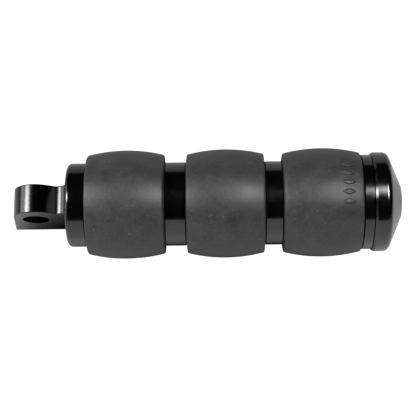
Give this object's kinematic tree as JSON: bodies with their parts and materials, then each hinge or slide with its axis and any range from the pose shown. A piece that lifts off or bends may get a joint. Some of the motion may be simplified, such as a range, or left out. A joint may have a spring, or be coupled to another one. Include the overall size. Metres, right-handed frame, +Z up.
{
  "type": "motorcycle foot peg",
  "caption": "Round motorcycle foot peg: gloss black pivot tang and flange, crowned rubber barrels parted by narrow metal bands, end ring and low conical screwed cap.",
  "frame": {"origin": "middle of the pivot bore, where the bore's axis crosses the peg's own axis", "axes": "+X along the peg, away from the motorcycle; +Y along the pivot bore; +Z up as ridden, towards the tang's rounded side"},
  "size_m": [0.144, 0.04, 0.04],
  "materials": {
    "gloss_black_casting": "gloss black powder coat on a cast surface",
    "gloss_black_turned": "gloss black over fine turning lines",
    "gloss_black_cap": "gloss black over fine turning lines",
    "tread_rubber": "satin moulded rubber, dark grey, slightly mottled",
    "plain_aluminium": "as turned",
    "black_oxide_steel": "black oxide",
    "zinc_steel": "bright zinc",
    "nitrile_seal": "smooth moulded seal"
  },
  "bodies": {
    "root": {"barrel_sleeve_inner": "plain_aluminium", "barrel_sleeve_middle": "plain_aluminium", "barrel_sleeve_outer": "plain_aluminium", "cap_seal": "nitrile_seal", "clamp_screw": "black_oxide_steel", "end_cap": "gloss_black_cap", "end_ring": "gloss_black_turned", "indexing_pin": "zinc_steel", "lock_washer": "zinc_steel", "mount_tang": "gloss_black_casting", "peg_core": "plain_aluminium", "rubber_barrel_inner": "tread_rubber", "rubber_barrel_middle": "tread_rubber", "rubber_barrel_outer": "tread_rubber", "spacer_band_inner": "gloss_black_turned", "spacer_band_outer": "gloss_black_turned"}
  },
  "joints": []
}
